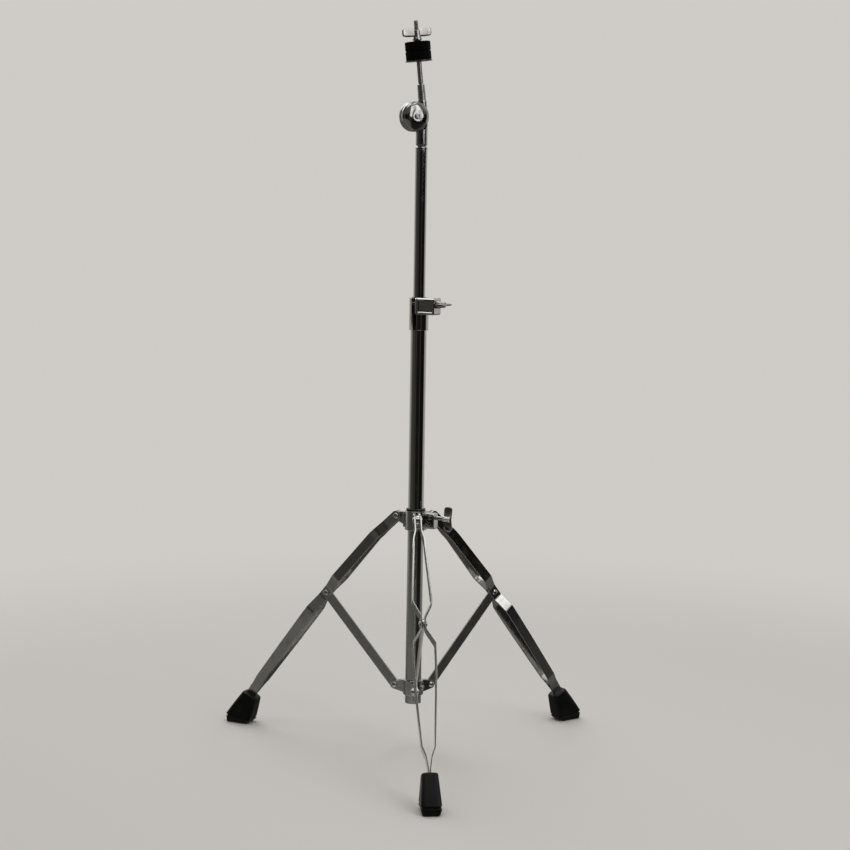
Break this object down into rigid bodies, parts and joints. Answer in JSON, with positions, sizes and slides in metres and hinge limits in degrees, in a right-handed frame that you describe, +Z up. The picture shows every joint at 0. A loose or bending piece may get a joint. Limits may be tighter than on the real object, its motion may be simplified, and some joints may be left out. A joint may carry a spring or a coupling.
{
  "type": "straight cymbal stand",
  "caption": "Chromed straight cymbal stand: folding tripod of bent-strip legs, telescoping column with a height clamp, side-mounted tilter and felt-lined cymbal seat.",
  "frame": {"origin": "on the floor, at the middle of the footprint of the whole stand", "axes": "+Z up along the column; -Y along the front leg; +X to the right seen from the front"},
  "size_m": [0.6044, 0.5254, 1.1509],
  "materials": {
    "chrome_tube": "polished chrome plate",
    "chrome_casting": "polished chrome plate over die casting",
    "chrome_hardware": "polished chrome plate",
    "chrome_strip": "chrome plate over flat bar",
    "steel_rivet": "plated steel",
    "black_nylon": "moulded",
    "black_rubber": "moulded, satin",
    "black_felt": "pressed wool"
  },
  "bodies": {
    "base_column": {"base_tube": "chrome_tube", "height_clamp": "chrome_casting", "lower_brace_collar": "chrome_casting", "brace_rivet_1": "steel_rivet", "brace_rivet_2": "steel_rivet", "brace_rivet_3": "steel_rivet", "lower_collar_screw": "chrome_hardware"},
    "brace_1": {"brace_1": "chrome_strip"},
    "leg_1": {"leg_1_left_strip": "chrome_strip", "leg_1_right_strip": "chrome_strip", "leg_1_foot": "black_rubber", "leg_1_middle_rivet": "steel_rivet"},
    "brace_2": {"brace_2": "chrome_strip"},
    "leg_2": {"leg_2_left_strip": "chrome_strip", "leg_2_right_strip": "chrome_strip", "leg_2_foot": "black_rubber", "leg_2_middle_rivet": "steel_rivet"},
    "brace_3": {"brace_3": "chrome_strip"},
    "leg_3": {"leg_3_left_strip": "chrome_strip", "leg_3_right_strip": "chrome_strip", "leg_3_foot": "black_rubber", "leg_3_middle_rivet": "steel_rivet"},
    "leg_collar": {"upper_leg_collar": "chrome_casting", "collar_bushing": "black_nylon", "leg_rivet_1": "steel_rivet", "leg_rivet_2": "steel_rivet", "leg_rivet_3": "steel_rivet"},
    "collar_lock_bolt": {"collar_lock_bolt": "chrome_hardware"},
    "height_wing_bolt": {"height_wing_bolt": "chrome_hardware"},
    "clamp_bushing": {"clamp_bushing": "black_nylon"},
    "upper_column": {"upper_tube": "chrome_tube", "tilter_base": "chrome_casting", "tilter_friction_washer": "black_nylon", "tilter_bolt": "chrome_hardware"},
    "tilter_wing_nut": {"tilter_wing_nut": "chrome_hardware"},
    "cymbal_arm": {"tilter_head": "chrome_casting", "cymbal_rod": "chrome_hardware", "seat_washer": "chrome_hardware", "cymbal_sleeve": "black_nylon", "bottom_felt": "black_felt"},
    "top_felt": {"top_felt": "black_felt"},
    "top_wing_nut": {"top_wing_nut": "chrome_hardware"}
  },
  "joints": [
    {"name": "brace_1_fold", "type": "hinge", "parent": "base_column", "child": "brace_1", "pos_m": [0, 0.04776, 0.1], "axis": [-1, 0, 0], "range_deg": [-15, 35]},
    {"name": "brace_2_fold", "type": "hinge", "parent": "base_column", "child": "brace_2", "pos_m": [0.02815, 0.09651, 0.1], "axis": [0.5, -0.866, 0], "range_deg": [-15.5, 35.5]},
    {"name": "brace_3_fold", "type": "hinge", "parent": "base_column", "child": "brace_3", "pos_m": [-0.02815, 0.09651, 0.1], "axis": [0.5, 0.866, 0], "range_deg": [-15.5, 35.5]},
    {"name": "leg_1_spread", "type": "hinge", "parent": "brace_1", "child": "leg_1", "pos_m": [0, -0.07824, 0.238], "axis": [-1, 0, 0], "range_deg": [-71, 31]},
    {"name": "leg_2_spread", "type": "hinge", "parent": "brace_2", "child": "leg_2", "pos_m": [0.13726, 0.15951, 0.238], "axis": [0.5, -0.866, 0], "range_deg": [-71, 31]},
    {"name": "leg_3_spread", "type": "hinge", "parent": "brace_3", "child": "leg_3", "pos_m": [-0.13726, 0.15951, 0.238], "axis": [0.5, 0.866, 0], "range_deg": [-71, 31]},
    {"name": "collar_hang", "type": "hinge", "parent": "leg_1", "child": "leg_collar", "pos_m": [0, 0.04776, 0.376], "axis": [-1, 0, 0], "range_deg": [-15.5, 35.5]},
    {"name": "collar_bolt_turn", "type": "hinge", "parent": "leg_collar", "child": "collar_lock_bolt", "pos_m": [0.03048, 0.06266, 0.377], "axis": [0.866, -0.5, 0], "range_deg": [-15, 360]},
    {"name": "height_bolt_turn", "type": "hinge", "parent": "base_column", "child": "height_wing_bolt", "pos_m": [0.02427, 0.04588, 0.7151], "axis": [0.848, -0.5299, 0], "range_deg": [-15, 360]},
    {"name": "column_swivel", "type": "hinge", "parent": "base_column", "child": "clamp_bushing", "pos_m": [0, 0.08026, 0.72], "axis": [0, 0, 1], "continuous": true},
    {"name": "height_slide", "type": "slide", "parent": "clamp_bushing", "child": "upper_column", "axis": [0, 0, 1], "range_m": [-0.22, 0.24]},
    {"name": "tilter_tilt", "type": "hinge", "parent": "upper_column", "child": "cymbal_arm", "pos_m": [-0.0127, 0.07487, 1.0044], "axis": [0.3907, -0.9205, 0], "range_deg": [-14, 95]},
    {"name": "tilter_nut_turn", "type": "hinge", "parent": "upper_column", "child": "tilter_wing_nut", "pos_m": [-0.0127, 0.07487, 1.0044], "axis": [0.3907, -0.9205, 0], "range_deg": [-360, 15]},
    {"name": "felt_lift", "type": "slide", "parent": "cymbal_arm", "child": "top_felt", "axis": [-0.101, -0.0429, 0.994], "range_m": [0, 0.028]},
    {"name": "top_nut_turn", "type": "hinge", "parent": "top_felt", "child": "top_wing_nut", "pos_m": [0.0023, 0.08124, 1.0062], "axis": [-0.101, -0.0429, 0.994], "continuous": true}
  ],
  "couplings": [
    {"joint": "brace_2_fold", "follows": "brace_1_fold", "ratio": 1},
    {"joint": "brace_3_fold", "follows": "brace_1_fold", "ratio": 1},
    {"joint": "leg_1_spread", "follows": "brace_1_fold", "ratio": -2},
    {"joint": "leg_2_spread", "follows": "brace_1_fold", "ratio": -2},
    {"joint": "leg_3_spread", "follows": "brace_1_fold", "ratio": -2},
    {"joint": "collar_hang", "follows": "brace_1_fold", "ratio": 1}
  ]
}
